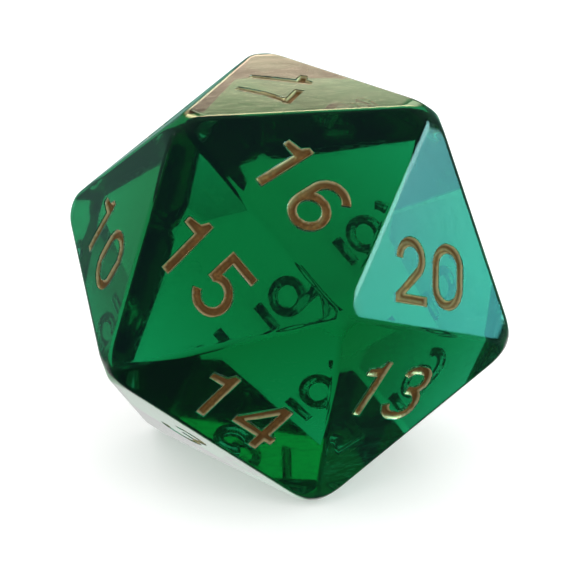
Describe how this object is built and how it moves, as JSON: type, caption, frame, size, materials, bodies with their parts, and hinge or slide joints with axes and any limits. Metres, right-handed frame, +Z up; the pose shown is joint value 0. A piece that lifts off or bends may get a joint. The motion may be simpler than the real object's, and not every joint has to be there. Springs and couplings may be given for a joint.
{
  "type": "polyhedral die",
  "caption": "Clear green icosahedral gaming die with softened edges, a numeral sunk in every face and copper paint in the numerals.",
  "frame": {"origin": "centre of the resting face, the one numbered 4, on the surface that the die stands on", "axes": "+Z up through the opposite face, numbered 17, across the flats; -Y towards one corner of the resting face; +X to the right of that corner seen from -Y"},
  "size_m": [0.0234, 0.0266, 0.022],
  "materials": {
    "clear_green_resin": "tumbled and polished transparent emerald acrylic, see-through, gloss",
    "copper_paint": "metallic copper-brown number paint, satin, wiped flush inside the engraving"
  },
  "bodies": {
    "root": {"die_body": "clear_green_resin", "number_01_paint": "copper_paint", "number_02_paint": "copper_paint", "number_03_paint": "copper_paint", "number_04_paint": "copper_paint", "number_05_paint": "copper_paint", "number_06_paint": "copper_paint", "number_07_paint": "copper_paint", "number_08_paint": "copper_paint", "number_09_paint": "copper_paint", "number_10_paint": "copper_paint", "number_11_paint": "copper_paint", "number_12_paint": "copper_paint", "number_13_paint": "copper_paint", "number_14_paint": "copper_paint", "number_15_paint": "copper_paint", "number_16_paint": "copper_paint", "number_17_paint": "copper_paint", "number_18_paint": "copper_paint", "number_19_paint": "copper_paint", "number_20_paint": "copper_paint"}
  },
  "joints": []
}
